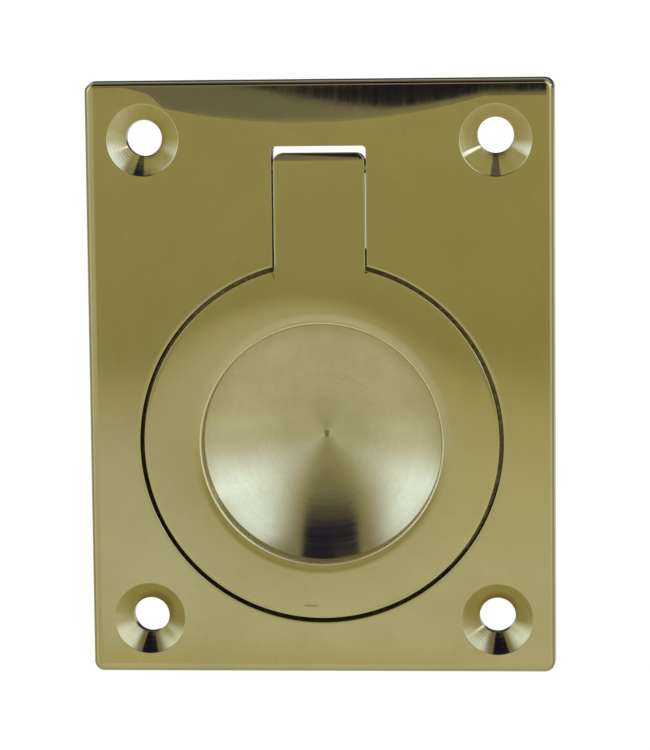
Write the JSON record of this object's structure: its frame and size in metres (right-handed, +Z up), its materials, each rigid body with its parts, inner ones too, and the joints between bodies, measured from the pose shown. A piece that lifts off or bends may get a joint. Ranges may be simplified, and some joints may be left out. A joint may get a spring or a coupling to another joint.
{
  "type": "flush ring pull",
  "caption": "Flush ring pull: a screw-fixed brass plate with a turned finger dish and a hinged ring that folds flat into its recess.",
  "frame": {"origin": "centre of the four screw holes, on the back face of the flange, which lies against the door", "axes": "+X to the right seen from the front, +Y into the door, +Z up towards the hinge of the ring"},
  "size_m": [0.0504, 0.0102, 0.0642],
  "materials": {
    "plate_brass": "polished face, turned dish and countersinks, cast back",
    "ring_brass": "polished",
    "pin_brass": "drawn wire"
  },
  "bodies": {
    "plate": {"back_plate": "plate_brass", "hinge_pin": "pin_brass"},
    "ring": {"pull_ring": "ring_brass"}
  },
  "joints": [
    {"name": "ring_hinge", "type": "hinge", "parent": "plate", "child": "ring", "pos_m": [0, -0.0015, 0.02284], "axis": [-1, 0, 0], "range_deg": [0, 108]}
  ]
}
